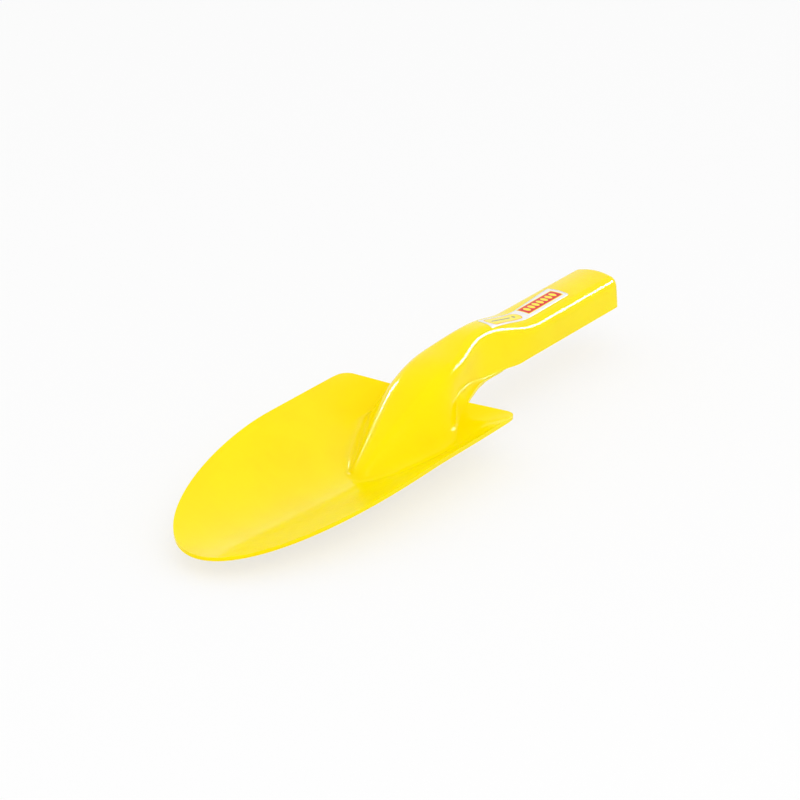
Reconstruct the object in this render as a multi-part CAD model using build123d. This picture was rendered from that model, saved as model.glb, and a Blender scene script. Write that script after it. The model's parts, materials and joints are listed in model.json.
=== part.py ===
from build123d import *
from math import radians, sqrt, tan
import os

# A one-piece moulded hand trowel with a film label. Millimetres.
# X runs from the blade's tip (station 0) to the end of the handle, Y runs across, and +Z is up.
# Heights are measured from the tip until the last step, which puts the origin under the middle of the part.

# Blade
blade_length = 142.0       # tip to straight rear edge
blade_width = 75.0
blade_wall = 1.4
tip_round_length = 91.5    # the half ellipse that shapes the tip
rim_height = 10.7          # level part of the rim above the tip
rim_rise_length = 92.0     # the rim climbs over this distance and then stays level
rim_rise_power = 1.41
rim_flare = 0.48           # eases the sides' slope towards the rim; 0 makes them parabolas
floor_depth = 6.8          # lowest point of the floor below the tip
rear_rise_length = 25.0    # lowest point of the floor to the rear edge
shoulder_radius = 4.5      # rear corners in plan

# Handle: an inverted channel, open below
handle_length = 119.6      # rear edge of the blade to the end of the handle
handle_width = 21.2        # at the lower edge
handle_wall = 1.2
handle_draft = 4.0         # degrees on each side
grip_bottom = 9.0          # level lower edge of the grip
grip_top = 22.0            # middle of the crowned top
crown_radius = 25.0
top_edge_radius = 3.0
narrow_edge_share = 0.6    # on the narrow nose this share of the half width is the edge radius instead
end_radius = 70.0          # bulge of the end wall in plan
end_corner_radius = top_edge_radius + 1.0  # in plan; stays larger than the rounding of the top edges
neck_length = 61.0         # rear edge of the blade to the start of the level grip
hump_rise = 1.8            # the neck's top stands above the grip by this
hump_drop_length = 30.0    # the top falls from the hump to the grip over this
ridge_rise = 2.9           # the neck's top is pinched into a ridge that stands up by this
ridge_pinch = 4.0          # and is narrower by this on each side
ridge_front = 4.0          # rear edge of the blade to the start of the ridge
ridge_front_length = 22.0  # the ridge grows over this
ridge_rear_length = 33.0   # and fades into the grip over this
neck_arch_height = 11.0    # highest point of the neck's lower edge
neck_arch_reach = 25.0     # rear edge of the blade to that point
level_edge_reach = 45.0    # rear edge of the blade to where the lower edge becomes level
arch_start_slope = 0.3     # slope of the arched lower edge where it leaves the blade
arch_end_slope = -0.2      # and where it meets the level edge
flare_length = 20.0        # the neck's lower edges widen over this length towards the blade
flare_width = 5.8          # and by this much on each side

# Tongue: the ramp that runs from the neck down to the floor of the blade
tongue_reach = 46.0        # nose to rear edge
tongue_slope = 32.6        # degrees
tongue_taper_length = 38.0  # nose to full width
nose_height = 3.0          # top of the nose above the floor
nose_half_width = 2.4
ramp_blend = 8.0           # height over which ramp and hump round into each other
taper_blend = 3.0          # width over which taper and sides round into each other
flank_lean = 0.65          # the tongue's sides spread by this much for each unit of drop
upright_start = 14.0       # the sides turn upright from this far in front of the rear edge
upright_length = 22.0      # over this distance
hollow_setback = 8.0       # nose to the front of the hollow under the tongue

# Label: one film, with a skewed front panel and a straight main panel
label_film = 0.12
label_front = 35.0         # these three are measured from the blade's rear edge
label_bend = 59.5
label_rear = 89.5
label_front_width = 7.3
label_bend_width = 7.9
label_rear_width = 10.1
label_front_shift = -1.35  # sideways places of the middle of the label
label_bend_shift = -1.55
label_rear_shift = -0.05
label_corner_radius = 1.0

# Worked-out places
rear_edge = blade_length
overall_length = blade_length + handle_length
half_blade = blade_width / 2
low_station = rear_edge - rear_rise_length
grip_start = rear_edge + neck_length
nose_station = rear_edge - tongue_reach
draft_ratio = tan(radians(handle_draft))

# Working planes and steps
below_all = -20.0          # under the whole part
above_all = 60.0           # over the whole part
beside_all = 60.0          # half width of cutting blocks
surface_margin = 6.0       # the blade's surfaces run past its outline by this
surface_step = 5.0
surface_tolerance = 0.005
section_step = 7.0
slope_reach = 0.01


def smoothStep(t):
    t = min(max(t, 0), 1)
    return t * t * (3 - 2 * t)


def softMinimum(a, b, blend):
    """The smaller of two values, rounded where they come within the blend of each other."""
    closeness = max(1 - abs(a - b) / blend, 0)
    return min(a, b) - blend * closeness ** 2 / 4


def spacedStations(low, high, step):
    count = round((high - low) / step)
    return [low + (high - low) * i / count for i in range(count + 1)]


def floorHeight(x):
    """Height of the blade's upper surface along its middle line."""
    if x < low_station:
        return -floor_depth * (1 - (1 - x / low_station) ** 2)
    return (rim_height + floor_depth) * ((x - low_station) / rear_rise_length) ** 2 - floor_depth


def rimHeight(x):
    return rim_height * (1 - max(1 - x / rim_rise_length, 0) ** rim_rise_power)


def outlineHalfWidthSquared(x):
    """An ellipse at the tip, then parallel sides. It is negative before the tip, as the surface needs."""
    return half_blade ** 2 * (1 - max(1 - x / tip_round_length, 0) ** 2)


def bladeHeight(x, y):
    """Height of the blade's upper surface. Across, it is a parabola that eases towards the rim."""
    floor = floorHeight(x)
    half_squared = outlineHalfWidthSquared(x)
    rim_easing = 1 + rim_flare * (1 - sqrt(max(half_squared, 0)) / half_blade)
    easing = 1 + rim_flare * (1 - abs(y) / half_blade)
    return floor + (rimHeight(x) - floor) * y ** 2 * easing / (half_squared * rim_easing)


def bladePoint(x, y, depth):
    """A point at a depth under the blade's upper surface, measured square to it."""
    slope_x = (bladeHeight(x + slope_reach, y) - bladeHeight(x - slope_reach, y)) / (2 * slope_reach)
    slope_y = (bladeHeight(x, y + slope_reach) - bladeHeight(x, y - slope_reach)) / (2 * slope_reach)
    drop = depth / sqrt(1 + slope_x ** 2 + slope_y ** 2)
    return (x + slope_x * drop, y + slope_y * drop, bladeHeight(x, y) - drop)


def blockUnderBlade(depth):
    """Everything below the surface that lies at a depth under the blade's upper surface."""
    half = half_blade + surface_margin
    across = spacedStations(-half, half, surface_step)
    along = spacedStations(surface_step / 2 - surface_margin, rear_edge + surface_margin, surface_step)
    points = [[bladePoint(x, y, depth) for y in across] for x in along]
    surface = Face.make_surface_from_array_of_points(points, tol=surface_tolerance)
    return extrude(surface, amount=above_all, dir=(0, 0, -1))


def bladeOutline():
    """Plan of the blade: half ellipse, parallel sides, rounded rear corners."""
    ellipse = Pos(tip_round_length, 0) * Ellipse(tip_round_length, half_blade)
    front = Rectangle(tip_round_length, blade_width, align=(Align.MIN, Align.CENTER))
    sides = Rectangle(rear_edge - tip_round_length, blade_width, align=(Align.MIN, Align.CENTER))
    plan = ellipse & front
    plan += Pos(tip_round_length, 0) * sides
    return fillet(plan.vertices().group_by(Axis.X)[-1], shoulder_radius)


def ridgeShare(x):
    """How far the neck is pinched into a ridge: 0 on the tongue and the grip, 1 at the middle of the neck."""
    growth = smoothStep((x - rear_edge - ridge_front) / ridge_front_length)
    return growth * smoothStep((grip_start - x) / ridge_rear_length)


def crownHeight(x):
    """Height of the middle of the top of the tongue, the neck and the grip."""
    nose_top = floorHeight(nose_station) + nose_height
    ramp = nose_top + tan(radians(tongue_slope)) * (x - nose_station)
    hump = grip_top + hump_rise * smoothStep((grip_start - x) / hump_drop_length)
    hump += ridge_rise * ridgeShare(x)
    return softMinimum(ramp, hump, ramp_blend)


def handleHalfWidth(x, height):
    """Half width between the drafted sides at a station and height."""
    full = handle_width / 2
    taper = nose_half_width + (full - nose_half_width) * (x - nose_station) / tongue_taper_length
    return softMinimum(taper, full, taper_blend) + (grip_bottom - height) * draft_ratio


def sideLean(x):
    """Spread of the sides for each unit of drop: wide on the tongue and the ridge, the draft on the grip."""
    upright = smoothStep((x - rear_edge + upright_start) / upright_length)
    ridge_lean = ridge_pinch * ridgeShare(x) / (crownHeight(x) - neck_arch_height)
    return flank_lean + (draft_ratio - flank_lean) * upright + ridge_lean


def handleSection(x, inset):
    """Section across the handle: drafted sides, crowned top, rounded upper edges, reaching far down."""
    crown = crownHeight(x) - inset
    radius = crown_radius - inset
    edge_half = handleHalfWidth(x, crown) - ridge_pinch * ridgeShare(x) - inset
    edge_height = crown - radius + sqrt(radius ** 2 - edge_half ** 2)
    low_half = edge_half + (edge_height - below_all) * sideLean(x)
    sides = Polyline(
        (-edge_half, edge_height),
        (-low_half, below_all),
        (low_half, below_all),
        (edge_half, edge_height),
    )
    top = ThreePointArc((edge_half, edge_height), (0, crown), (-edge_half, edge_height))
    section = make_face(sides + top)
    upper_corners = section.vertices().group_by(Axis.Y)[-1]
    rounding = min(top_edge_radius - inset, narrow_edge_share * edge_half)
    return Plane.YZ.offset(x) * fillet(upper_corners, rounding)


def neckBlock(front, inset):
    """Tongue and neck as one smooth body."""
    return loft([handleSection(x, inset) for x in spacedStations(front, grip_start, section_step)])


def gripBlock(inset):
    """The straight grip, with a bulged end wall."""
    spread = (grip_bottom - below_all) * draft_ratio - inset
    half = handle_width / 2 + spread
    end = overall_length + spread
    radius = end_radius + spread
    bulge = radius - sqrt(radius ** 2 - half ** 2)
    sides = Polyline((end - bulge, half), (rear_edge, half), (rear_edge, -half), (end - bulge, -half))
    plan = make_face(sides + ThreePointArc((end - bulge, -half), (end, 0), (end - bulge, half)))
    plan = fillet(plan.vertices().group_by(Axis.X)[-1], end_corner_radius + spread)
    block = extrude(Pos(0, 0, below_all) * plan, above_all - below_all, taper=handle_draft)
    crown = crownHeight(grip_start) - inset
    crown_axis = crown - crown_radius + inset
    top = Rot(0, 90, 0) * Cylinder(crown_radius - inset, handle_length, align=(Align.CENTER, Align.CENTER, Align.MIN))
    top += Box(handle_length, 2 * beside_all, above_all, align=(Align.MIN, Align.CENTER, Align.MAX))
    block &= Pos(grip_start, 0, crown_axis) * top
    upper_edges = block.edges().filter_by(
        lambda e: e.bounding_box().min.Z > grip_bottom and e.center().X > grip_start + top_edge_radius
    )
    return fillet(upper_edges, top_edge_radius - inset)


def spaceUnderHandle():
    """Everything below the lower edge of the neck and grip."""
    lower_edge = Spline(
        (rear_edge, rim_height - blade_wall),
        (rear_edge + neck_arch_reach, neck_arch_height),
        (rear_edge + level_edge_reach, grip_bottom),
        tangents=[(1, arch_start_slope), (1, arch_end_slope)],
    )
    end = overall_length + beside_all
    base = Polyline(
        (rear_edge + level_edge_reach, grip_bottom),
        (end, grip_bottom),
        (end, 2 * below_all),
        (rear_edge, 2 * below_all),
        (rear_edge, rim_height - blade_wall),
    )
    profile = Plane.XZ * make_face(lower_edge + base)
    return extrude(profile, beside_all, both=True)


def flareWebs():
    """The widening of the neck's lower edges into the blade's rear edge, one wall thick."""
    half = handleHalfWidth(rear_edge, rim_height)
    end = rear_edge + flare_length
    left = [(rear_edge, half + flare_width), (end, half)]
    right = [(end, -half), (rear_edge, -half - flare_width)]
    plan = make_face(Polyline(*left, *right, close=True))
    return extrude(plan, above_all) & Pos(0, 0, blade_wall) * spaceUnderHandle()


def labelOutline():
    """Plan of the label: a skewed panel, then a straight one."""
    stations = (label_front, label_bend, label_rear)
    shifts = (label_front_shift, label_bend_shift, label_rear_shift)
    widths = (label_front_width, label_bend_width, label_rear_width)
    left = [(rear_edge + x, shift + width / 2) for x, shift, width in zip(stations, shifts, widths)]
    right = [(rear_edge + x, shift - width / 2) for x, shift, width in zip(stations, shifts, widths)]
    plan = make_face(Polyline(*left, *reversed(right), close=True))
    return fillet(plan.vertices(), label_corner_radius)


dish = extrude(Pos(0, 0, below_all) * bladeOutline(), above_all - below_all) & blockUnderBlade(0)
handle = neckBlock(nose_station, 0) + gripBlock(0)
outside = dish + handle + flareWebs()

blade_region = Pos(rear_edge, 0, 0) * Box(
    2 * blade_length, 2 * beside_all, 4 * above_all, align=(Align.MAX, Align.CENTER, Align.CENTER)
)
space_under_blade = blockUnderBlade(blade_wall) & blade_region
channel = neckBlock(nose_station + hollow_setback, handle_wall) + gripBlock(handle_wall)
body = outside - space_under_blade
body -= spaceUnderHandle()
body -= channel

label_prism = Pos(0, 0, grip_bottom) * extrude(labelOutline(), above_all)
label = (Pos(0, 0, label_film) * handle & label_prism) - handle

box = body.bounding_box()
to_origin = Pos(-overall_length / 2, 0, -box.min.Z)
nodes = {"trowel_body": to_origin * body, "label": to_origin * label}

os.makedirs("parts", exist_ok=True)
for name, shape in nodes.items():
    shape.label = name
    export_step(shape, f"parts/{name}.step")
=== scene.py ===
import json
from math import asin, cos, pi, radians, sin, sqrt, tan

import bmesh
import bpy
from mathutils import Matrix, Vector
from mathutils.bvhtree import BVHTree


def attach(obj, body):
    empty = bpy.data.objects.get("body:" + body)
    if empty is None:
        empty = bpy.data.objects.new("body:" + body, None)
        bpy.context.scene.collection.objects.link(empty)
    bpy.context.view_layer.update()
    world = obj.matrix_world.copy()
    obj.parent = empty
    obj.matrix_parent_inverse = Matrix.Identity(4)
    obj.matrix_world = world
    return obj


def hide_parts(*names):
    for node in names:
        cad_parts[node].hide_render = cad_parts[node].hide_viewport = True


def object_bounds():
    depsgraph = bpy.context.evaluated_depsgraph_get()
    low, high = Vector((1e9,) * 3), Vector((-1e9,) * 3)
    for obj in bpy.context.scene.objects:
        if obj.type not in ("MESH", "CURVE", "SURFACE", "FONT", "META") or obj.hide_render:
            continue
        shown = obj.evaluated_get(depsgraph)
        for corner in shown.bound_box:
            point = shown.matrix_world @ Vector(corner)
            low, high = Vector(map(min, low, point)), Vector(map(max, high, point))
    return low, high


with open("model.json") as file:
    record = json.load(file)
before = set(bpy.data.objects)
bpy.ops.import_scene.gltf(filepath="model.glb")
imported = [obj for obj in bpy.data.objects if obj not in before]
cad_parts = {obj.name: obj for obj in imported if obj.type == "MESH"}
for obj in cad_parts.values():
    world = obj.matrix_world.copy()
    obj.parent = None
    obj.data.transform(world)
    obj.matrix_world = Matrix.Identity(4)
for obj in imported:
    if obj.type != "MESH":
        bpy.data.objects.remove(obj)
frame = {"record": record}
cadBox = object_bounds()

# Sizes are in millimetres. Stations run from the blade's tip, and heights are from the rim at the tip.
blade = {
    "length": 142.0,
    "width": 75.0,
    "wall": 1.3,
    "tipRound": 91.5,  # length of the half ellipse at the tip
    "rimHeight": 10.7,
    "rimRise": 92.0,
    "rimPower": 1.41,
    "rimFlare": 0.48,  # eases the sides' slope towards the rim
    "floorDepth": 6.8,
    "rearRise": 25.0,
    "shoulder": 4.5,
    "rimRounding": 0.42,
    "sharpAngle": 50.0,  # edges sharper than this many degrees are rounded
    "rings": 20,  # mesh rows from the tongue's foot to the rim
    "ringCrowding": 1.3,  # over 1 these crowd towards the rim
    "leaningRings": 6,  # over these the wall's direction turns from square to upright
    "straightColumns": 8,  # mesh columns that meet the straight part of the rim
    "columnCrowding": 1.5,  # over 1 these crowd towards the rear edge
}
handle = {
    "length": 119.6,
    "width": 21.2,
    "draft": 4.0,  # degrees on each side
    "gripBottom": 9.0,
    "gripTop": 22.0,
    "crownRadius": 25.0,
    "topEdge": 3.0,
    "edgeFullness": 0.88,  # pull of the sharp corner on its rounding; 0.71 is about a circle's
    "edgeDrop": 2.0,  # the sides' edge lies this far under the middle of the crown
    "endEdgeDrop": 1.2,  # and the end wall's edge this far
    "narrowShare": 0.6,  # on the narrow nose this share of the half width is the edge radius instead
    "endBulge": 69.2,
    "endCorner": 3.2,
    "neck": 61.0,  # rear edge of the blade to the start of the level grip
    "humpRise": 1.8,  # the neck's top stands above the grip by this
    "humpDrop": 30.0,  # and falls to the grip over this
    "ridgeRise": 2.9,  # the neck is pinched into a ridge that stands up by this
    "ridgePinch": 4.0,  # and is narrower by this on each side
    "ridgeFront": 4.0,
    "ridgeFrontLength": 22.0,
    "ridgeRearLength": 33.0,
    "archHeight": 11.0,
    "archReach": 25.0,
    "archStartSlope": 0.17,
    "archEndSlope": -0.13,
    "levelReach": 45.0,
    "flareLength": 20.0,
    "flareWidth": 5.8,
    "lipShare": 0.5,  # the lower edge rises by the wall over this share of the flare
    "footRounding": 4.2,  # between the sides and the blade
    "footFullness": 0.75,
    "footRoom": 0.95,  # the foot's rounding takes no more than this share of the side
    "rearFoot": 1.3,  # the foot's rounding at the rear edge
    "rearFootLength": 18.0,  # reached over this distance in front of it
    "gripFoot": 0.8,  # and on the lower edge of the grip
    "rows": (22, 58),  # mesh rows on the blade and behind it
    "columns": 12,  # mesh columns across the crown
}
tongue = {
    "reach": 46.0,
    "slope": 32.6,
    "noseHeight": 3.0,
    "noseRadius": 3.0,
    "taper": 0.187,
    "taperBlend": 3.0,
    "flankLean": 0.65,  # the sides spread by this much for each unit of drop
    "uprightStart": 14.0,  # they turn upright from this far in front of the rear edge
    "uprightLength": 22.0,
    "rampBlend": 8.0,
}

mm = 0.001
nearlyZero = 0.001  # keeps the very tip off a division by nothing
slopeReach = 0.1  # slopes are measured this far to each side
gripMount = next(m for m in frame["record"]["mounts"] if m["name"] == "grip_underside")
lift = gripMount["pos_m"][2] / mm - handle["gripBottom"]
rearEdge = blade["length"]
halfBlade = blade["width"] / 2
lowStation = rearEdge - blade["rearRise"]
gripStart = rearEdge + handle["neck"]
noseStation = rearEdge - tongue["reach"]
draft = tan(radians(handle["draft"]))
topLevels, wallLevels, footLevels = 4, 6, 10  # mesh rows down the handle's side
footSearches = 10  # steps that bring the side's foot down onto the blade


def inFrame(point):  # from stations, sides and heights to the shared frame
    return Vector((cadBox[0].x + point.x * mm, point.y * mm, (point.z + lift) * mm))


def smoothStep(t):
    t = min(max(t, 0), 1)
    return t * t * (3 - 2 * t)


def softMinimum(a, b, blend):
    closeness = max(1 - abs(a - b) / blend, 0)
    return min(a, b) - blend * closeness ** 2 / 4


def between(a, b, t):
    return a + (b - a) * t


def sharesOf(count):  # even shares of the way, without the start
    return [i / count for i in range(1, count + 1)]


def roundedCorner(start, corner, end, pull, t):  # a point on the rounding of a sharp corner
    a, b, c = (1 - t) ** 2, 2 * pull * t * (1 - t), t ** 2
    return (start * a + corner * b + end * c) / (a + b + c)


def slopedCurve(x0, z0, slope0, x1, z1, slope1, x):  # a cubic from end heights and end slopes
    span = x1 - x0
    t = (x - x0) / span
    bend0, bend1 = slope0 * span - (z1 - z0), (z1 - z0) - slope1 * span
    return between(z0, z1, t) + t * (1 - t) * between(bend0, bend1, t)


def floorHeight(x):
    depth = blade["floorDepth"]
    if x < lowStation:
        return -depth * (1 - (1 - x / lowStation) ** 2)
    return (blade["rimHeight"] + depth) * ((x - lowStation) / blade["rearRise"]) ** 2 - depth


def rimHeight(x):
    return blade["rimHeight"] * (1 - max(1 - x / blade["rimRise"], 0) ** blade["rimPower"])


def bladeHeight(x, y):
    x = max(x, nearlyZero)
    halfSquared = halfBlade ** 2 * (1 - max(1 - x / blade["tipRound"], 0) ** 2)
    flare = blade["rimFlare"]
    easing = 1 + flare * (1 - abs(y) / halfBlade)
    rimEasing = 1 + flare * (1 - sqrt(halfSquared) / halfBlade)
    share = min(y * y / halfSquared, 1) * (easing / rimEasing)
    return floorHeight(x) + (rimHeight(x) - floorHeight(x)) * share


def ridgeShare(x):  # 0 on the tongue and the grip, 1 at the middle of the pinched neck
    growth = smoothStep((x - rearEdge - handle["ridgeFront"]) / handle["ridgeFrontLength"])
    return growth * smoothStep((gripStart - x) / handle["ridgeRearLength"])


def crownHeight(x):  # middle of the top of the tongue, the neck and the grip
    ramp = floorHeight(noseStation) + tongue["noseHeight"] + tan(radians(tongue["slope"])) * (x - noseStation)
    hump = handle["gripTop"] + handle["humpRise"] * smoothStep((gripStart - x) / handle["humpDrop"])
    hump += handle["ridgeRise"] * ridgeShare(x)
    return softMinimum(ramp, hump, tongue["rampBlend"])


def onCrown(plan):
    radius = handle["crownRadius"]
    z = crownHeight(plan.x) - radius + sqrt(radius ** 2 - plan.y ** 2)
    return Vector((plan.x, plan.y, z))


def onBlade(plan):
    return Vector((plan.x, plan.y, bladeHeight(plan.x, plan.y)))


def lowerEdge(x):  # height of the lower edge of the neck and the grip
    arch, end = rearEdge + handle["archReach"], rearEdge + handle["levelReach"]
    top = handle["archHeight"]
    if x < arch:
        underRim = blade["rimHeight"] - blade["wall"]
        return slopedCurve(rearEdge, underRim, handle["archStartSlope"], arch, top, 0, x)
    return slopedCurve(arch, top, 0, end, handle["gripBottom"], handle["archEndSlope"], min(x, end))


# The crown's sharp edge in plan: nose, far side, end wall. Each gives a point and its outward direction.
noseTurn = pi / 2 - tongue["taper"]
noseSide = Vector((noseStation, 0)) + tongue["noseRadius"] * Vector((1 - cos(noseTurn), sin(noseTurn)))


def edgeHalfWidth(x):
    full = handle["width"] / 2 - (crownHeight(x) - handle["edgeDrop"] - handle["gripBottom"]) * draft
    half = softMinimum(noseSide.y + tongue["taper"] * (x - noseSide.x), full, tongue["taperBlend"])
    return half - handle["ridgePinch"] * ridgeShare(x)


def sidePlan(x):
    slope = (edgeHalfWidth(x + slopeReach) - edgeHalfWidth(x - slopeReach)) / (2 * slopeReach)
    return Vector((x, edgeHalfWidth(x))), Vector((-slope, 1)).normalized()


def nosePlan(share):  # share 0 is the front and 1 is the start of the side
    outward = Vector((-cos(share * noseTurn), sin(share * noseTurn)))
    return Vector((noseStation + tongue["noseRadius"], 0)) + outward * tongue["noseRadius"], outward


def endPlan(share):  # share 0 is the middle of the end wall and 1 is the end of the side
    bulge, corner = handle["endBulge"], handle["endCorner"]
    bulgeCentre = Vector((endStation - bulge, 0))
    cornerY = edgeHalfWidth(gripStart) - corner
    cornerStart = asin(cornerY / (bulge - corner))
    angle = cornerStart * share / wallShare
    if share > wallShare:
        angle = between(cornerStart, pi / 2, (share - wallShare) / (1 - wallShare))
    outward = Vector((cos(angle), sin(angle)))
    if share > wallShare:
        cornerCentre = bulgeCentre + Vector((cos(cornerStart), sin(cornerStart))) * (bulge - corner)
        return cornerCentre + outward * corner, outward
    return bulgeCentre + outward * bulge, outward


halfColumns = handle["columns"] // 2
noseRows = 3  # rows of the crown's grid on the nose's side
cornerRows = 4  # and on each rounded corner of the end wall
bladeRows, gripRows = handle["rows"]
rearRow = noseRows + bladeRows
cornerRow = rearRow + gripRows
lastRow = cornerRow + cornerRows
wallShare = (halfColumns - cornerRows) / (halfColumns + cornerRows)
endDepth = crownHeight(gripStart) - handle["endEdgeDrop"] - handle["gripBottom"]
endStation = rearEdge + handle["length"] - endDepth * draft


def edgePlan(row, side):  # at a border place of the crown's grid
    if row < noseRows:
        point, outward = nosePlan((abs(side) + row) / (halfColumns + noseRows))
    elif row <= rearRow:
        point, outward = sidePlan(between(noseSide.x, rearEdge, (row - noseRows) / bladeRows))
    elif row < cornerRow:
        point, outward = sidePlan(between(rearEdge, endPlan(1)[0].x, (row - rearRow) / gripRows))
    else:
        point, outward = endPlan((abs(side) + lastRow - row) / (halfColumns + cornerRows))
    mirror = -1 if side < 0 else 1
    return Vector((point.x, point.y * mirror)), Vector((outward.x, outward.y * mirror))


def wallProfile(row, side):  # crown's edge, then down the rounded edge, the wall and the foot
    base, outward = edgePlan(row, side)
    upright = smoothStep((base.x - rearEdge + tongue["uprightStart"]) / tongue["uprightLength"])
    ridgeLean = handle["ridgePinch"] * ridgeShare(base.x) / (crownHeight(base.x) - handle["archHeight"])
    lean = outward.to_3d() * (between(tongue["flankLean"], draft, upright) + ridgeLean) - Vector((0, 0, 1))
    outward = outward.to_3d()
    corner = onCrown(base)
    topEdge = min(handle["topEdge"], handle["narrowShare"] * edgeHalfWidth(max(base.x, noseSide.x)))
    footUp = footOut = handle["footRounding"]
    lipShare = 1 - (base.x - rearEdge) / handle["flareLength"]
    lipHalf = handle["width"] / 2 + handle["flareWidth"] * min(max(lipShare, 0), 1)
    if row <= rearRow:
        foot = corner.copy()
        for _ in range(footSearches):
            foot = corner + lean * (corner.z - bladeHeight(foot.x, foot.y))
        drop = handle["footRoom"] * (corner.z - foot.z)
        topEdge = min(topEdge, drop / 2)
        footUp = min(footUp, drop - topEdge)
        rearLength = handle["rearFootLength"]
        nearRear = smoothStep((base.x - rearEdge + rearLength) / rearLength)
        footUp = between(footUp, handle["rearFoot"], nearRear)
        footOut = between(footUp, lipHalf - abs(foot.y), nearRear)
        footEnd = onBlade(foot + outward * footOut)
    else:
        lipRise = blade["wall"] * smoothStep(lipShare / handle["lipShare"])
        foot = corner + lean * (corner.z - lowerEdge(base.x) - lipRise)
        footOut = max(lipHalf - abs(foot.y), 0) if row < cornerRow else 0
        footUp = between(handle["gripFoot"], handle["rearFoot"], smoothStep(lipShare))
        footEnd = foot + outward * footOut
    start = onCrown(base.to_3d() - outward * topEdge)
    wallTop, wallEnd = corner + lean * topEdge, foot - lean * footUp
    edgePull, footPull = handle["edgeFullness"], handle["footFullness"]
    profile = [start]
    profile += [roundedCorner(start, corner, wallTop, edgePull, t) for t in sharesOf(topLevels)]
    profile += [between(wallTop, wallEnd, t) for t in sharesOf(wallLevels)]
    profile += [roundedCorner(wallEnd, foot, footEnd, footPull, t) for t in sharesOf(footLevels)]
    return profile


def rimPlan(count):  # plan of the rim, counted from the rear edge to the tip
    straight = blade["straightColumns"]
    if count <= straight:
        forward = (rearEdge - blade["tipRound"]) * (count / straight) ** blade["columnCrowding"]
        return Vector((rearEdge - forward, halfBlade))
    angle = pi / 2 * (1 - (count - straight) / (rearRow + halfColumns - straight))
    return Vector((blade["tipRound"] * (1 - cos(angle)), halfBlade * sin(angle)))


def shoulderRounded(plan):  # turns the square corner of the blade's rear end into a quarter circle
    radius = blade["shoulder"]
    p = (plan.x - rearEdge + radius) / radius
    q = (abs(plan.y) - halfBlade + radius) / radius
    if p <= 0 or q <= 0:
        return plan
    x, y = p * sqrt(1 - q * q / 2), q * sqrt(1 - p * p / 2)
    mirror = -1 if plan.y < 0 else 1
    return Vector((rearEdge - radius + x * radius, mirror * (halfBlade - radius + y * radius)))


def extrudeBorder(mesh, edges, places):  # one more row on open edges; places moves on with the new vertices
    made = bmesh.ops.extrude_edge_only(mesh, edges=edges)["geom"]
    newVerts = [g for g in made if isinstance(g, bmesh.types.BMVert)]
    moved = {}
    for vert in newVerts:
        source = next(e.other_vert(vert) for e in vert.link_edges if e.other_vert(vert) in places)
        moved[vert] = places[source]
    newEdges = [g for g in made if isinstance(g, bmesh.types.BMEdge) and all(v in moved for v in g.verts)]
    return newEdges, moved


def addInnerWall(mesh, uprightness):  # an inner copy one wall away, joined along the open edges
    mesh.normal_update()
    outerEdges = [e for e in mesh.edges if e.is_boundary]
    outerVerts = mesh.verts[:]
    steps = {}
    for vert in outerVerts:
        direction = between(vert.normal, Vector((0, 0, 1)), uprightness.get(vert, 0)).normalized()
        steps[vert] = direction * blade["wall"] / direction.dot(vert.normal)
    copies = bmesh.ops.duplicate(mesh, geom=mesh.verts[:] + mesh.edges[:] + mesh.faces[:])
    copyOf = copies["vert_map"]
    for vert in outerVerts:
        copyOf[vert].co -= steps[vert]
    bmesh.ops.reverse_faces(mesh, faces=[g for g in copies["geom"] if isinstance(g, bmesh.types.BMFace)])
    edgeCopy = copies["edge_map"]
    bmesh.ops.bridge_loops(mesh, edges=outerEdges + [edgeCopy[e] for e in outerEdges])


def newPiece(name, mesh, material):
    data = bpy.data.meshes.new(name)
    mesh.to_mesh(data)
    mesh.free()
    data.shade_smooth()
    piece = bpy.data.objects.new(name, data)
    bpy.context.scene.collection.objects.link(piece)
    data.materials.append(material)
    return piece


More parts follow.
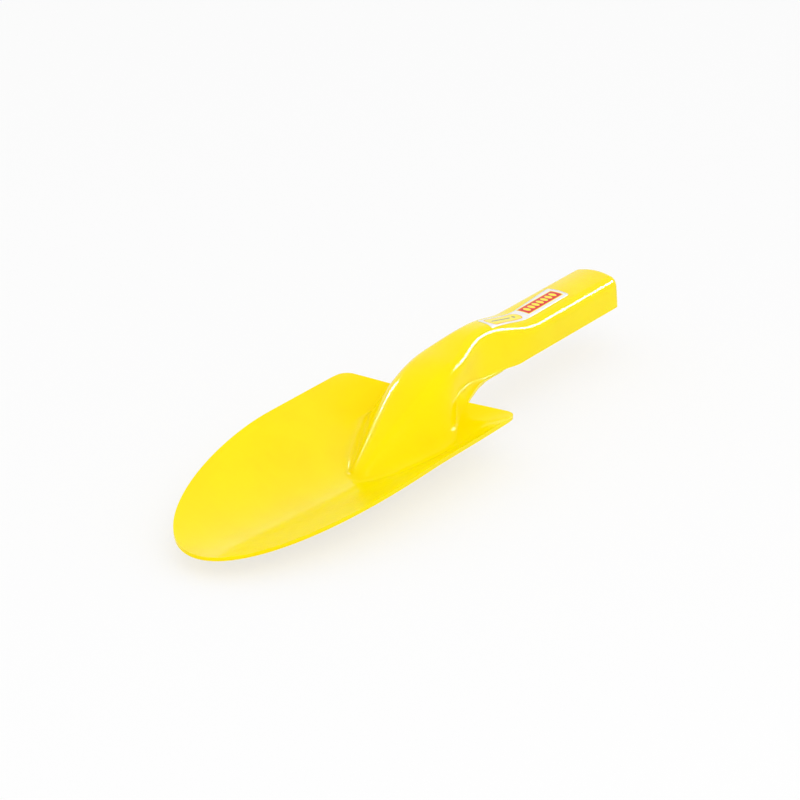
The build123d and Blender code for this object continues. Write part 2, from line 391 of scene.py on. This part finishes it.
def makeBody(material):
    mesh = bmesh.new()
    columns = handle["columns"]
    bmesh.ops.create_grid(mesh, x_segments=lastRow, y_segments=columns, size=1)
    places = {}
    for vert in mesh.verts:
        row, side = round((vert.co.x + 1) / 2 * lastRow), round(vert.co.y * halfColumns)
        places[vert] = (row, side)
    profiles = {}
    for row, side in places.values():
        if row in (0, lastRow) or abs(side) == halfColumns:
            profiles[row, side] = wallProfile(row, side)
    start = {place: profile[0] for place, profile in profiles.items()}
    # the crown lies between its four borders, and its width follows the sides
    for vert, (row, side) in places.items():
        u, v = row / lastRow, (side + halfColumns) / columns
        sides = between(start[row, -halfColumns], start[row, halfColumns], v)
        ends = between(start[0, side], start[lastRow, side], u)
        corners = between(
            between(start[0, -halfColumns], start[0, halfColumns], v),
            between(start[lastRow, -halfColumns], start[lastRow, halfColumns], v),
            u,
        )
        plan = sides + ends - corners
        noseShare = start[0, side].y / start[0, halfColumns].y
        endShare = start[lastRow, side].y / start[lastRow, halfColumns].y
        plan.y = between(noseShare, endShare, u) * start[row, halfColumns].y
        vert.co = onCrown(plan)

    border = [e for e in mesh.edges if e.is_boundary]
    places = {v: places[v] for e in border for v in e.verts}
    for level in range(1, 1 + topLevels + wallLevels + footLevels):
        border, places = extrudeBorder(mesh, border, places)
        for vert, place in places.items():
            vert.co = profiles[place][level]

    # from the foot of the tongue out to the rim
    uprightness = {}
    border = [e for e in border if all(places[v][0] <= rearRow for v in e.verts)]
    places = {v: places[v] for e in border for v in e.verts}
    footEnds = {place: profiles[place][-1].to_2d() for place in places.values()}
    for ring in range(1, blade["rings"] + 1):
        border, places = extrudeBorder(mesh, border, places)
        share = 1 - (1 - ring / blade["rings"]) ** blade["ringCrowding"]
        for vert, (row, side) in places.items():
            count = rearRow - row + (halfColumns - abs(side))
            rim = rimPlan(count)
            rim.y *= (side > 0) - (side < 0)
            plan = between(footEnds[row, side], rim, share)
            vert.co = onBlade(shoulderRounded(plan))
            uprightness[vert] = smoothStep(ring / blade["leaningRings"])

    bmesh.ops.recalc_face_normals(mesh, faces=mesh.faces)
    if max(mesh.faces, key=lambda f: f.calc_center_median().z).normal.z < 0:
        bmesh.ops.reverse_faces(mesh, faces=mesh.faces)
    addInnerWall(mesh, uprightness)
    for vert in mesh.verts:
        vert.co = inFrame(vert.co)
    body = newPiece("moulding", mesh, material)
    rounding = body.modifiers.new("rimRounding", "BEVEL")
    rounding.width = blade["rimRounding"] * mm
    rounding.segments = 3
    rounding.limit_method = "ANGLE"
    rounding.angle_limit = radians(blade["sharpAngle"])
    smooth = body.modifiers.new("smooth", "SUBSURF")
    smooth.levels = smooth.render_levels = 1
    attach(body, "root")
    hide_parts("trowel_body")
    return body


label = {
    "film": 0.12,
    "shellShare": 0.8,  # the film's wall as a share of its height above the handle
    "corners": (  # near and far corner at the front, the bend and the rear
        ((176.2, -5.0), (177.5, 2.3)),
        ((199.6, -5.5), (203.2, 2.4)),
        ((230.9, -5.1), (231.7, 5.0)),
    ),
    "cornerRadius": 1.0,
    "above": 60.0,  # the film starts this far up and is dropped onto the handle
    "rows": 56,
    "columns": 12,
}


def makeLabel(body, material):
    bpy.context.view_layer.update()
    surface = BVHTree.FromObject(body, bpy.context.evaluated_depsgraph_get())
    down = Vector((0, 0, -1))
    mesh = bmesh.new()
    rows, columns = label["rows"], label["columns"]
    bmesh.ops.create_grid(mesh, x_segments=rows, y_segments=columns, size=1)
    for vert in mesh.verts:
        along, across = vert.co.x + 1, (vert.co.y + 1) / 2
        panel = 0 if along < 1 else 1
        near, far = [Vector(corner) for corner in label["corners"][panel]]
        nearEnd, farEnd = [Vector(corner) for corner in label["corners"][panel + 1]]
        along -= panel
        plan = between(between(near, nearEnd, along), between(far, farEnd, along), across)
        vert.co = plan.to_3d() - down * label["above"]
    cornerVerts = [v for v in mesh.verts if len(v.link_faces) == 1]
    bmesh.ops.bevel(
        mesh,
        geom=cornerVerts,
        affect="VERTICES",
        offset=label["cornerRadius"],
        segments=4,
        profile=0.5,
        material=-1,
    )
    bmesh.ops.recalc_face_normals(mesh, faces=mesh.faces)
    if mesh.faces[0].normal.z < 0:
        bmesh.ops.reverse_faces(mesh, faces=mesh.faces)
    for vert in mesh.verts:  # laid on the handle from above
        place, normal, _, _ = surface.ray_cast(inFrame(vert.co), down)
        vert.co = place + normal * label["film"] * mm
    film = newPiece("labelFilm", mesh, material)
    shell = film.modifiers.new("film", "SOLIDIFY")
    shell.thickness = label["shellShare"] * label["film"] * mm
    shell.offset = -1
    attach(film, "root")
    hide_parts("label")
    return film


viewpoint = {
    "azimuth": 303.288,
    "elevation": 22.0,
    "aim": (0.0530308, -0.0457219, 0.0558087),  # in metres from the tip
    "distance": 1.22,
    "lens": 165.9033,
    "sensor": 36,
}


def makeCamera():
    azimuth, elevation = radians(viewpoint["azimuth"]), radians(viewpoint["elevation"])
    alongAim, sideAim, heightAim = viewpoint["aim"]
    aim = Vector((cadBox[0].x + alongAim, sideAim, heightAim))
    back = Vector((sin(azimuth) * cos(elevation), -cos(azimuth) * cos(elevation), sin(elevation)))
    data = bpy.data.cameras.new("camera")
    data.sensor_width = viewpoint["sensor"]
    data.lens = viewpoint["lens"]
    camera = bpy.data.objects.new("camera", data)
    camera.location = aim + back * viewpoint["distance"]
    camera.rotation_mode = "QUATERNION"
    camera.rotation_quaternion = (-back).to_track_quat("-Z", "Y")
    bpy.context.scene.collection.objects.link(camera)
    bpy.context.scene.camera = camera


# direction from the trowel, distance, width along it, height, radiance, and whether it lights
# surfaces or only makes the bright lines on their gloss
lamps = {
    "keySoftbox": ((-0.45, -0.55, 0.7), 1.6, 1.0, 1.0, 1.6, True),
    "edgeStrip": ((0.765, -0.475, 0.46), 1.3, 0.46, 0.22, 60.0, False),
    "backSoftbox": ((0.29, 0.86, 0.42), 1.3, 0.1, 0.26, 52.0, False),
}
studio = {
    "ambient": 0.92,
    "floorGlow": 0.7,  # share of the floor that shows plain white to the camera
    "floorColour": (0.9, 0.9, 0.9),
    "floorRoughness": 0.8,
    "floorSize": 6.0,
}


def makeLamp(name, direction, distance, width, height, radiance, lightsSurfaces):
    data = bpy.data.lights.new(name, "AREA")
    data.shape = "RECTANGLE"
    data.size, data.size_y = width, height
    data.energy = radiance * pi * width * height
    lamp = bpy.data.objects.new(name, data)
    away = Vector(direction).normalized()
    lamp.location = away * distance
    along = (Vector((1, 0, 0)) - away * away.x).normalized()
    lamp.rotation_mode = "QUATERNION"
    lamp.rotation_quaternion = Matrix((along, away.cross(along), away)).transposed().to_quaternion()
    lamp.visible_camera = False
    lamp.visible_diffuse = lightsSurfaces
    bpy.context.scene.collection.objects.link(lamp)


def addNode(tree, kind, settings, inputs):  # an input's value is a constant or another node's output
    node = tree.nodes.new("ShaderNode" + kind)
    for name, value in settings.items():
        setattr(node, name, value)
    for name, value in inputs.items():
        if isinstance(value, bpy.types.NodeSocket):
            tree.links.new(value, node.inputs[name])
        else:
            node.inputs[name].default_value = value
    return node


def calculate(tree, operation, *values):
    return addNode(tree, "Math", {"operation": operation}, dict(enumerate(values))).outputs[0]


def remap(tree, value, low, high, newLow, newHigh):
    inputs = {"Value": value, "From Min": low, "From Max": high, "To Min": newLow, "To Max": newHigh}
    return addNode(tree, "MapRange", {}, inputs).outputs["Result"]


def noise(tree, place, scale, detail):
    return addNode(tree, "TexNoise", {}, {"Vector": place, "Scale": scale, "Detail": detail}).outputs[0]


def mixColours(tree, share, first, second):
    colours = [c if isinstance(c, bpy.types.NodeSocket) else (*c, 1) for c in (first, second)]
    inputs = {"Factor": share, 6: colours[0], 7: colours[1]}
    return addNode(tree, "Mix", {"data_type": "RGBA"}, inputs).outputs[2]


def bumped(tree, height, finish):
    inputs = {"Height": height, "Strength": finish["reliefStrength"], "Distance": finish["reliefDepth"]}
    return addNode(tree, "Bump", {}, inputs).outputs[0]


def shownDirectly(tree):  # 1 where the camera, a reflection or glass shows the surface
    path = tree.nodes.new("ShaderNodeLightPath").outputs
    shown = calculate(tree, "MAXIMUM", path["Is Camera Ray"], path["Is Glossy Ray"])
    return calculate(tree, "MAXIMUM", shown, path["Is Transmission Ray"])


def makeWorld():
    world = bpy.data.worlds.new("studio")
    bpy.context.scene.world = world
    world.use_nodes = True
    tree = world.node_tree
    white = (1, 1, 1, 1)
    lighting = addNode(tree, "Background", {}, {"Color": white, "Strength": studio["ambient"]})
    shown = addNode(tree, "Background", {}, {"Color": white, "Strength": 1.0})
    inputs = {0: shownDirectly(tree), 1: lighting.outputs[0], 2: shown.outputs[0]}
    mixed = addNode(tree, "MixShader", {}, inputs)
    tree.links.new(mixed.outputs[0], tree.nodes["World Output"].inputs["Surface"])


def newMaterial(name):
    material = bpy.data.materials.new(name)
    material.use_nodes = True
    return material, material.node_tree, material.node_tree.nodes["Principled BSDF"]


def floorMaterial():
    material, tree, shader = newMaterial("floorWhite")
    shader.inputs["Base Color"].default_value = (*studio["floorColour"], 1)
    shader.inputs["Roughness"].default_value = studio["floorRoughness"]
    shader.inputs["Specular IOR Level"].default_value = 0.0
    glow = addNode(tree, "Emission", {}, {"Color": (1, 1, 1, 1), "Strength": 1.0})
    share = calculate(tree, "MULTIPLY", shownDirectly(tree), studio["floorGlow"])
    mixed = addNode(tree, "MixShader", {}, {0: share, 1: shader.outputs[0], 2: glow.outputs[0]})
    tree.links.new(mixed.outputs[0], tree.nodes["Material Output"].inputs["Surface"])
    return material


def newGroup(name, inputs, outputs):
    group = bpy.data.node_groups.new(name, "ShaderNodeTree")
    for title, value in inputs.items():
        kind = "NodeSocketVector" if value is None else "NodeSocketFloat"
        socket = group.interface.new_socket(name=title, in_out="INPUT", socket_type=kind)
        if value is not None:
            socket.default_value = value
    for title in outputs:
        group.interface.new_socket(name=title, in_out="OUTPUT", socket_type="NodeSocketFloat")
    given = group.nodes.new("NodeGroupInput").outputs
    result = group.nodes.new("NodeGroupOutput").inputs
    return group, given, result


middleTone = 0.5  # a noise's middle value
skinPattern = {
    "mottleDetail": 3.0,
    "peelDetail": 1.0,
    "scratchDetail": 2.0,
    "scratchTurns": (0.35, -0.8),  # of the two sets of hairlines, about the vertical axis
    "scratchAlong": 28.0,  # how far the hairlines are drawn out
    "scratchAcross": 950.0,
    "scratchHalfWidth": 0.007,
    "patchRange": (0.5, 0.62),  # mottle between which the patches of scratches fade in
    "mottleGloss": 0.5,
    "scratchDepth": 0.4,
}


def makeSkinGroup():  # mottled tone, orange peel and patches of hairline scratches
    pattern = skinPattern
    inputs = {"Vector": None, "Mottle Size": 0.03, "Peel Size": 0.002, "Scratches": 0.5}
    group, given, result = newGroup("mouldedSkin", inputs, ("Tone", "Gloss Loss", "Relief"))
    mottleScale = calculate(group, "DIVIDE", 1.0, given["Mottle Size"])
    peelScale = calculate(group, "DIVIDE", 1.0, given["Peel Size"])
    mottle = noise(group, given["Vector"], mottleScale, pattern["mottleDetail"])
    peel = noise(group, given["Vector"], peelScale, pattern["peelDetail"])
    stretch = (pattern["scratchAlong"], pattern["scratchAcross"], pattern["scratchAlong"])
    hairlines = []
    for turn in pattern["scratchTurns"]:
        turning = {"Vector": given["Vector"], "Rotation": (0, 0, turn), "Scale": stretch}
        turned = addNode(group, "Mapping", {}, turning).outputs[0]
        strands = noise(group, turned, 1.0, pattern["scratchDetail"])
        offset = calculate(group, "ABSOLUTE", calculate(group, "SUBTRACT", strands, middleTone))
        hairlines.append(remap(group, offset, 0.0, pattern["scratchHalfWidth"], 1.0, 0.0))
    patches = remap(group, mottle, *pattern["patchRange"], 0.0, given["Scratches"])
    marks = calculate(group, "MULTIPLY", calculate(group, "MAXIMUM", *hairlines), patches)
    group.links.new(mottle, result["Tone"])
    loss = calculate(group, "ADD", calculate(group, "MULTIPLY", mottle, pattern["mottleGloss"]), marks)
    group.links.new(loss, result["Gloss Loss"])
    relief = calculate(group, "SUBTRACT", peel, calculate(group, "MULTIPLY", marks, pattern["scratchDepth"]))
    group.links.new(relief, result["Relief"])
    return group


def addSkin(tree, skinGroup, place, finish):
    sizes = {"Mottle Size": finish["mottleSize"], "Peel Size": finish["peelSize"]}
    inputs = {"Vector": place, **sizes, "Scratches": finish["scratches"]}
    return addNode(tree, "Group", {"node_tree": skinGroup}, inputs).outputs


def makePanelGroup():  # 1 inside a rounded rectangle about the vector's origin
    inputs = {"Vector": None, "Half Length": 10.0, "Half Width": 3.0, "Corner": 0.5, "Softness": 0.06}
    group, given, result = newGroup("printedPanel", inputs, ("Mask",))
    axes = addNode(group, "SeparateXYZ", {}, {0: given["Vector"]}).outputs
    outside = []
    for axis, size in ((axes[0], "Half Length"), (axes[1], "Half Width")):
        straight = calculate(group, "SUBTRACT", given[size], given["Corner"])
        over = calculate(group, "SUBTRACT", calculate(group, "ABSOLUTE", axis), straight)
        outside.append(calculate(group, "MAXIMUM", over, 0.0))
    corner = addNode(group, "CombineXYZ", {}, dict(enumerate(outside))).outputs[0]
    distance = addNode(group, "VectorMath", {"operation": "LENGTH"}, {0: corner}).outputs["Value"]
    beyond = calculate(group, "SUBTRACT", distance, given["Corner"])
    softEdge = calculate(group, "MULTIPLY", given["Softness"], -1.0)
    group.links.new(remap(group, beyond, softEdge, given["Softness"], 1.0, 0.0), result["Mask"])
    return group


plasticFinish = {
    "colour": (0.991, 0.787, 0.0),
    "deepColour": (0.985, 0.745, 0.0),
    "toneRange": (0.42, 0.68),  # mottle between which the colour turns to the deep one
    "mottleSize": 0.028,
    "peelSize": 0.0022,
    "scratches": 0.35,
    "lossRange": (0.1, 0.8),
    "gloss": (0.08, 0.22),  # roughness where the gloss is best and worst
    "specular": 0.15,
    "specularTint": (1.0, 0.92, 0.5),
    "subsurface": 0.15,
    "subsurfaceRadius": (1.0, 0.4, 0.02),
    "subsurfaceScale": 0.004,
    "reliefStrength": 0.5,
    "reliefDepth": 0.00006,
}


def plasticMaterial(skinGroup):
    material, tree, shader = newMaterial("yellowPolypropylene")
    finish = plasticFinish
    place = tree.nodes.new("ShaderNodeTexCoord").outputs["Object"]
    skin = addSkin(tree, skinGroup, place, finish)
    tone = remap(tree, skin["Tone"], *finish["toneRange"], 0.0, 1.0)
    colour = mixColours(tree, tone, finish["colour"], finish["deepColour"])
    tree.links.new(colour, shader.inputs["Base Color"])
    roughness = remap(tree, skin["Gloss Loss"], *finish["lossRange"], *finish["gloss"])
    tree.links.new(roughness, shader.inputs["Roughness"])
    tree.links.new(bumped(tree, skin["Relief"], finish), shader.inputs["Normal"])
    shader.inputs["Specular IOR Level"].default_value = finish["specular"]
    shader.inputs["Specular Tint"].default_value = (*finish["specularTint"], 1)
    shader.inputs["Subsurface Weight"].default_value = finish["subsurface"]
    shader.inputs["Subsurface Radius"].default_value = finish["subsurfaceRadius"]
    shader.inputs["Subsurface Scale"].default_value = finish["subsurfaceScale"]
    return material


printed = {  # sizes in millimetres: station, side, turn in degrees, half length, half width, corner
    "redPanel": (216.7, -0.8, 0.5, 12.2, 2.55, 0.25),
    "redBorder": (216.7, -0.8, 0.5, 12.65, 2.95, 0.3),
    "frontPanel": (189.6, -1.45, 0.5, 10.6, 2.55, 2.3),
    "frontBorder": (189.6, -1.45, 0.5, 10.95, 2.9, 2.6),
    "frontLine": (187.8, -1.5, 0.5, 6.4, 0.35, 0.3),
    "frontSpot": (196.6, -1.5, 0.5, 0.75, 0.75, 0.7),
    "ovalRow": (216.7, -0.8, 0.5, 10.85, 1.75, 0.2),
    "ovalPitch": 3.1,
    "ovalSize": (1.15, 1.62),
    "ovalSoftness": 0.05,
}
labelFinish = {
    "film": (0.88, 0.875, 0.865),
    "filmShade": (0.84, 0.83, 0.815),
    "red": (0.74, 0.004, 0.01),
    "yellow": (0.97, 0.83, 0.03),
    "orange": (0.9, 0.42, 0.03),
    "grey": (0.22, 0.19, 0.13),
    "shadeRange": (0.4, 0.7),  # mottle between which the film turns to its shade
    "mottleSize": 0.006,
    "peelSize": 0.0007,
    "scratches": 0.6,
    "lossRange": (0.0, 0.8),
    "gloss": (0.16, 0.38),
    "specular": 0.2,
    "inkGloss": 0.15,  # ink is glossier than bare film by this
    "filmRelief": 0.5,  # relief of the film beside that of the ink
    "reliefStrength": 0.6,
    "reliefDepth": 0.00001,
}


def printMaterial(skinGroup, panelGroup):
    material, tree, shader = newMaterial("labelPrint")
    finish = labelFinish
    place = tree.nodes.new("ShaderNodeTexCoord").outputs["Object"]
    skin = addSkin(tree, skinGroup, place, finish)

    def localPlace(station, side, turn):
        centre = (cadBox[0].x + station * mm, side * mm, 0)
        turning = {"Rotation": (0, 0, radians(turn)), "Scale": (mm, mm, mm)}
        inputs = {"Vector": place, "Location": centre, **turning}
        return addNode(tree, "Mapping", {"vector_type": "TEXTURE"}, inputs).outputs[0]

    def panel(name):
        station, side, turn, halfLength, halfWidth, corner = printed[name]
        sizes = {"Half Length": halfLength, "Half Width": halfWidth, "Corner": corner}
        inputs = {"Vector": localPlace(station, side, turn), **sizes}
        return addNode(tree, "Group", {"node_tree": panelGroup}, inputs).outputs["Mask"]

    row = addNode(tree, "SeparateXYZ", {}, {0: localPlace(*printed["ovalRow"][:3])}).outputs
    halfPitch = printed["ovalPitch"] / 2
    ovalLength, ovalWidth = printed["ovalSize"]
    along = calculate(tree, "DIVIDE", calculate(tree, "WRAP", row[0], halfPitch, -halfPitch), ovalLength)
    across = calculate(tree, "DIVIDE", row[1], ovalWidth)
    combined = addNode(tree, "CombineXYZ", {}, {0: along, 1: across}).outputs[0]
    distance = addNode(tree, "VectorMath", {"operation": "LENGTH"}, {0: combined}).outputs["Value"]
    softness = printed["ovalSoftness"]
    inOval = remap(tree, distance, 1 - softness, 1 + softness, 1.0, 0.0)
    ovals = calculate(tree, "MULTIPLY", inOval, panel("ovalRow"))

    shade = remap(tree, skin["Tone"], *finish["shadeRange"], 0.0, 1.0)
    colour = mixColours(tree, shade, finish["film"], finish["filmShade"])
    layers = [
        (panel("redBorder"), "yellow"),
        (panel("redPanel"), "red"),
        (ovals, "yellow"),
        (panel("frontBorder"), "orange"),
        (panel("frontPanel"), "yellow"),
        (panel("frontLine"), "grey"),
        (panel("frontSpot"), "grey"),
    ]
    ink = None
    for mask, name in layers:
        colour = mixColours(tree, mask, colour, finish[name])
        ink = mask if ink is None else calculate(tree, "MAXIMUM", ink, mask)
    tree.links.new(colour, shader.inputs["Base Color"])
    inkGloss = calculate(tree, "MULTIPLY", ink, finish["inkGloss"])
    loss = calculate(tree, "SUBTRACT", skin["Gloss Loss"], inkGloss)
    tree.links.new(remap(tree, loss, *finish["lossRange"], *finish["gloss"]), shader.inputs["Roughness"])
    filmRelief = calculate(tree, "MULTIPLY", skin["Relief"], finish["filmRelief"])
    relief = calculate(tree, "ADD", filmRelief, ink)
    tree.links.new(bumped(tree, relief, finish), shader.inputs["Normal"])
    shader.inputs["Specular IOR Level"].default_value = finish["specular"]
    return material


makeCamera()
print("camera ready")
skinGroup = makeSkinGroup()
body = makeBody(plasticMaterial(skinGroup))
print("moulding made:", len(body.data.polygons), "faces")
makeLabel(body, printMaterial(skinGroup, makePanelGroup()))
print("label made")
makeWorld()
for name, values in lamps.items():
    makeLamp(name, *values)
print("lamps placed")

floorMesh = bmesh.new()
bmesh.ops.create_grid(floorMesh, x_segments=1, y_segments=1, size=studio["floorSize"])
newPiece("floor", floorMesh, floorMaterial())
bpy.context.scene.view_settings.view_transform = "Standard"
